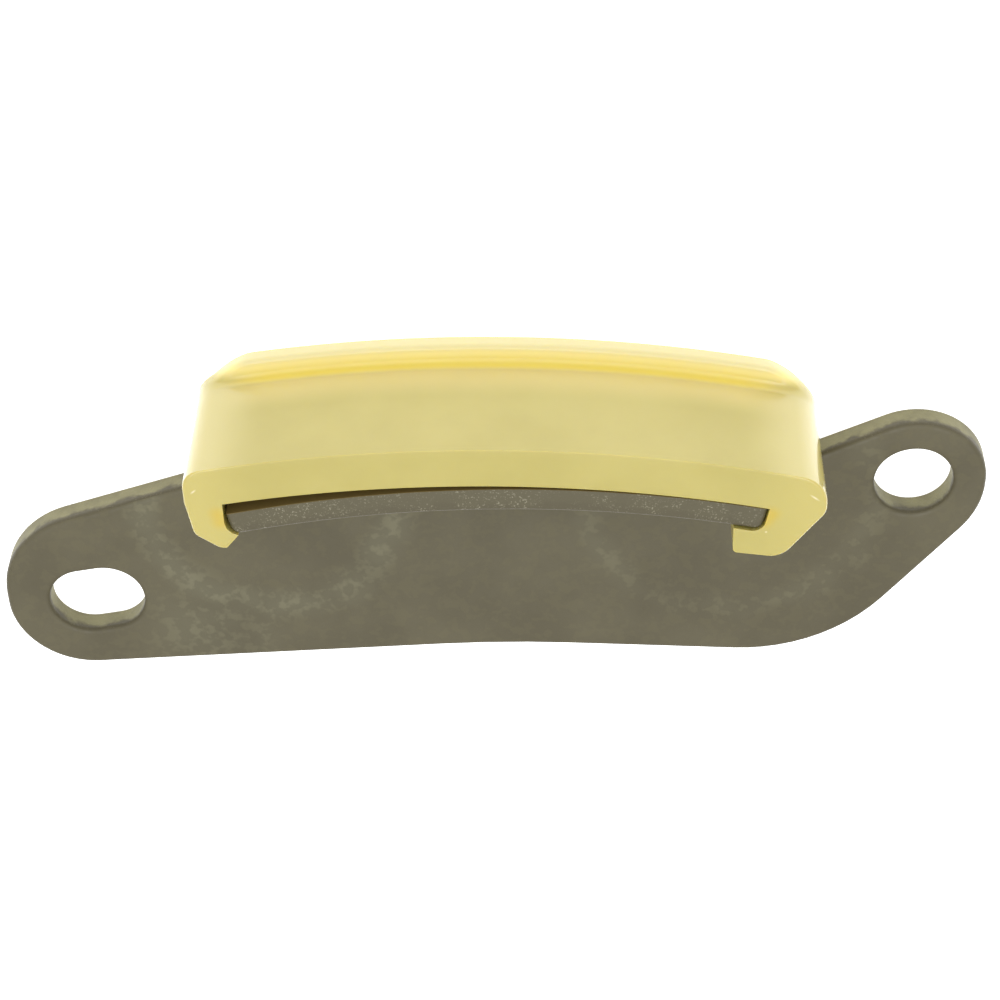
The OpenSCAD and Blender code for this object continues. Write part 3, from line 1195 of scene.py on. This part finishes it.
    def scribe_pad(self, bm: BMesh) -> None:
        """Scribes the pad's front face.

        Args:
            bm: The bmesh that takes it.
        """
        toe_m = self.shoulder_c(self.toe, self.toe.shoulder_r, self.run_r)
        heel_m = self.shoulder_c(self.heel, self.heel.shoulder_r, self.run_r)
        chamfer, meet, _ = self.heel_chamfer()
        lean, toe_meet, _ = self.toe_side()
        heel_top = heel_m + Vector((self.heel.shoulder_r, 0))
        pen = Scriber(bm, heel_top, self.front)
        pen.arc(heel_m, heel_m + (heel_m - self.pad_c))
        pen.arc(self.pad_c, toe_m, self.run_steps)
        pen.arc(toe_m, toe_m - Vector((1, 0)))
        pen.line(lean)
        pen.line(toe_meet)
        pen.line(self.seat(self.inner_x(self.toe)))
        pen.arc(self.pad_c, self.heel_wall()[0], self.seat_steps)
        pen.line(meet)
        pen.corner(chamfer, heel_top, self.heel_r)
        pen.fill(Stage.PAD)

    def scribe_toe(self, bm: BMesh) -> None:
        """Scribes the front of the slim hook at the slot's end, its wall and its lip.

        Args:
            bm: The bmesh that takes it.
        """
        inner = self.inner_x(self.toe)
        _, meet, bevel = self.toe_side()
        low = bevel.y - self.toe_bevel
        root = Vector((inner, low))
        flat = Vector((inner - self.toe_flat, low))
        radius = self.toe_curl_r
        curl_c = self.on_arc(self.flange.centre, self.lip_r + radius, inner + radius)
        curl = Vector((inner, curl_c.y))
        pen = Scriber(bm, self.seat(inner), self.front)
        pen.line(meet)
        pen.corner(bevel, flat, self.toe_r)
        pen.corner(flat, root, self.toe_r)
        pen.line(root)
        pen.line(curl)
        pen.fill(Stage.WALL)
        ahead = self.toe.reach - radius
        tip = curl_c + Vector((ahead, -math.sqrt(radius ** 2 - ahead ** 2)))
        pen = Scriber(bm, curl, self.front)
        pen.arc(curl_c, tip, self.curl_steps)
        pen.line(root)
        pen.fill(Stage.LIP)

    def scribe_heel(self, bm: BMesh) -> None:
        """Scribes the front of the stouter hook at the locating hole's end, its wall and its lip.

        Args:
            bm: The bmesh that takes it.
        """
        inner = self.inner_x(self.heel)
        _, meet, keel = self.heel_chamfer()
        top, step, curl, curl_c = self.heel_wall()
        tip_top = self.lip(inner - self.heel.reach)
        tip = tip_top - Vector((0, self.heel.lip))
        root = tip.lerp(keel, (inner - tip.x) / (keel.x - tip.x))
        pen = Scriber(bm, top, self.front)
        pen.line(step)
        pen.line(root)
        pen.corner(keel, meet, self.heel_keel_r)
        pen.line(meet)
        pen.fill(Stage.WALL)
        pen = Scriber(bm, root, self.front)
        pen.corner(tip, tip_top, self.heel_tip_r)
        pen.line(tip_top)
        pen.arc(self.flange.centre, curl_c)
        pen.arc(curl_c, curl)
        pen.line(step)
        pen.fill(Stage.LIP)

    def rim_height(self, place: Vector) -> float:
        """Tells how far the rim stands above a point of the running face or its shoulders.

        Args:
            place: The point.

        Returns:
            The height, 0 past the rim's ends and below the pad's upper half.
        """
        arm = place.to_2d() - self.pad_c
        ray = arm.normalized()
        crest = self.run_r + self.rim_h + self.rim_end_r * (1 - math.cos(self.rim_meet))
        reach = self.run_r + self.rim_h
        for hook in (self.toe, self.heel):
            disc = self.shoulder_c(hook, self.rim_end_r, crest) - self.pad_c
            aside = disc.cross(ray)
            if aside * hook.end.value < 0:
                room = self.rim_end_r ** 2 - aside ** 2
                reach = min(reach, disc.dot(ray) + math.sqrt(room)) if room > 0 else 0.0
        rise = reach - arm.length
        height = min(self.rim_h, (rise + math.hypot(rise, self.rim_blend)) / 2)
        on_rim = height > self.rim_least and arm.length > self.seat_r + self.pad / 2
        return height if on_rim else 0.0

    def rim_profile(self, height: float) -> list[Vector]:
        """Works out the rim's section, from the foot of its fillet to its back.

        Args:
            height: How far the rim stands up there.

        Returns:
            Points with the place along Z first and the height above the running face second.
        """
        front = self.back + self.rim_t
        root, edge, top = self.rim_root_r, self.rim_edge_r, self.rim_h
        turns = [math.pi / 2 * step / self.rim_steps for step in range(self.rim_steps + 1)]
        curls = [(1 - math.sin(turn), 1 - math.cos(turn)) for turn in turns]
        section = [Vector((front + root * a, root * b)) for a, b in curls]
        section += [Vector((front - edge * b, top - edge * a)) for a, b in curls]
        section.append(Vector((self.back, top)))
        share = height / top
        for count, place in enumerate(section):
            along = count / (len(section) - 1)
            ramp = section[0].lerp(section[-1], along)
            ramp.y = top * along ** 2 * (3 - 2 * along)
            place.xy = ramp.lerp(place, share)
            place.y *= share
        return section

    def extrude_pad(self, bm: BMesh, faces: list[BMFace]) -> None:
        """Extrudes the pad to its back ring by ring, and draws each ring up into the rim.

        Args:
            bm: The bmesh that holds the shoe.
            faces: The pad's faces at the height of the hooks' backs.
        """
        ring = bm.verts.layers.int.new("rim_ring")
        glow = bm.verts.layers.float.new(RIM_GLOW)
        rings = len(self.rim_profile(0.0))
        for count in range(1, rings + 1):
            faces = extrude_down(bm, faces, (self.hook_back - self.back) / rings)
            for vert in {vert for face in faces for vert in face.verts}:
                vert[ring] = count
        for vert in [vert for vert in bm.verts if vert[ring]]:
            place = self.rim_profile(self.rim_height(vert.co))[vert[ring] - 1]
            vert[glow] = place.y / self.rim_h
            move = ((vert.co.to_2d() - self.pad_c).normalized() * place.y).to_3d()
            move.z = place.x - vert.co.z
            bmesh.ops.translate(bm, verts=[vert], vec=move)

    def weigh_edges(self, bm: BMesh) -> float:
        """Picks the outer edges that are rounded; the rim's own radii are in its section.

        Args:
            bm: The whole shoe.

        Returns:
            The radius that stands for a weight of 1.
        """
        weight = bm.edges.layers.float.new(BEVEL_WEIGHT)
        for edge in filter(is_sharp, bm.edges):
            flat = any(lies_at(edge.verts, level) for level in self.band_levels)
            if edge.is_convex and (flat or any(lies_at([vert], self.front) for vert in edge.verts)):
                side = min(edge.link_faces, key=lambda face: abs(face.normal.z)).normal
                from_middle = edge.verts[0].co.x + self.flange.run
                outward = math.copysign(side.x, side.x * from_middle) * flat
                radius = self.crisp_r + (self.edge_r - self.crisp_r) * max(0.0, outward)
                edge[weight] = radius / self.edge_r
        return self.edge_r

    def build(self, skin: Material) -> bpy.types.Object:
        """Builds and dresses the shoe.

        Args:
            skin: Finish of the moulding.

        Returns:
            The finished piece.
        """
        bm = bmesh.new()
        stage = bm.faces.layers.int.new(STAGE_LAYER)
        self.scribe_pad(bm)
        self.scribe_toe(bm)
        self.scribe_heel(bm)
        bmesh.ops.remove_doubles(bm, verts=bm.verts, dist=WELD)
        faces = extrude_down(bm, list(bm.faces), self.front - self.lip_back, keep=True)
        faces = [face for face in faces if face[stage] < Stage.LIP.value]
        faces = extrude_down(bm, faces, self.lip_back - self.hook_back)
        faces = [face for face in faces if face[stage] < Stage.WALL.value]
        self.extrude_pad(bm, faces)
        weld(bm)
        for level in self.band_levels:
            lay_band(bm, [face for face in bm.faces if lies_at(face.verts, level)], self.edge_band)
        rounding = self.weigh_edges(bm)
        return finished_piece(bm, "shoe", rounding, [skin])


@dataclass
class Studio:
    """Pale floor, soft light and the camera at the photograph's viewing angle.

    The floor's side and the soft light's place and side are in metres, its power is in watts.
    """

    floor_side: float = 4.0
    floor_drop: float = 0.02
    paper: Colour = (0.85, 0.85, 0.85)
    paper_glow: float = 0.8
    sky: float = 1.0
    box_place: Place = (0.0, -0.02, 0.87)
    box_side: float = 0.8
    box_power: float = 6.5
    target: Vector = field(default_factory=lambda: Vector((-47.57, -1.98, 3.0)))
    distance: float = 301.0
    lens: float = 93.6
    sensor: float = 36.0
    nearest: float = 10.0
    tilt: float = math.radians(38.3)
    yaw: float = math.radians(-2.3)
    roll: float = math.radians(-2.0)

    def lay_floor(self) -> None:
        """Lays the floor just under the part."""
        bm = bmesh.new()
        bmesh.ops.create_grid(bm, x_segments=1, y_segments=1, size=self.floor_side / 2,
                              matrix=Matrix.Translation((0, 0, -self.floor_drop * MM)))
        mesh = bpy.data.meshes.new("floor")
        bm.to_mesh(mesh)
        bm.free()
        material = bpy.data.materials.new("pale_paper")
        material.use_nodes = True
        shader = material.node_tree.nodes["Principled BSDF"]
        shader.inputs["Base Color"].default_value = (*self.paper, 1.0)
        shader.inputs["Roughness"].default_value = 1.0
        shader.inputs["Specular IOR Level"].default_value = 0.0
        shader.inputs["Emission Color"].default_value = WHITE
        shader.inputs["Emission Strength"].default_value = self.paper_glow
        mesh.materials.append(material)
        floor = bpy.data.objects.new("floor", mesh)
        bpy.context.scene.collection.objects.link(floor)

    def light(self) -> None:
        """Sets the sky and hangs a square soft light that faces the part."""
        world = bpy.data.worlds.new("pale_sky")
        bpy.context.scene.world = world
        world.use_nodes = True
        sky = world.node_tree.nodes["Background"]
        sky.inputs["Color"].default_value = WHITE
        sky.inputs["Strength"].default_value = self.sky
        light = bpy.data.lights.new("top_box", "AREA")
        light.size = self.box_side
        light.energy = self.box_power
        lamp = bpy.data.objects.new("top_box", light)
        arm = Vector(self.box_place)
        lamp.location = self.target * MM + arm
        lamp.rotation_euler = arm.to_track_quat("Z", "Y").to_euler()
        bpy.context.scene.collection.objects.link(lamp)
        bpy.context.scene.view_settings.view_transform = "Standard"

    def aim(self) -> None:
        """Sets the camera."""
        back = Vector((-math.sin(self.yaw) * math.cos(self.tilt), math.sin(self.tilt),
                       math.cos(self.yaw) * math.cos(self.tilt))).normalized()
        level = Vector((0, 1, 0)).cross(back).normalized()
        rise = back.cross(level)
        right = level * math.cos(self.roll) + rise * math.sin(self.roll)
        up = rise * math.cos(self.roll) - level * math.sin(self.roll)
        lens = bpy.data.cameras.new("photo_camera")
        lens.lens = self.lens
        lens.sensor_width = self.sensor
        lens.clip_start = self.nearest * MM
        camera = bpy.data.objects.new("photo_camera", lens)
        pose = Matrix((right, up, back)).transposed().to_4x4()
        pose.translation = (self.target + back * self.distance) * MM
        camera.matrix_world = pose
        bpy.context.scene.collection.objects.link(camera)
        bpy.context.scene.camera = camera


def main() -> None:
    """Builds the guide, its stage, its lights and its camera."""
    logging.basicConfig(level=logging.INFO, format="%(message)s")
    groups = {"mottle": mottle_group(), "grain": grain_group()}
    phosphate = Phosphate("phosphate", **groups).build()
    sheared = ShearedEdge("sheared_edge", **groups).build()
    nylon = Nylon("nylon_skin", **groups).build()
    flange = Flange()
    Bracket(flange).build(phosphate, sheared)
    Shoe(flange).build(nylon)
    studio = Studio()
    studio.lay_floor()
    studio.light()
    studio.aim()


if __name__ == "__main__":
    main()
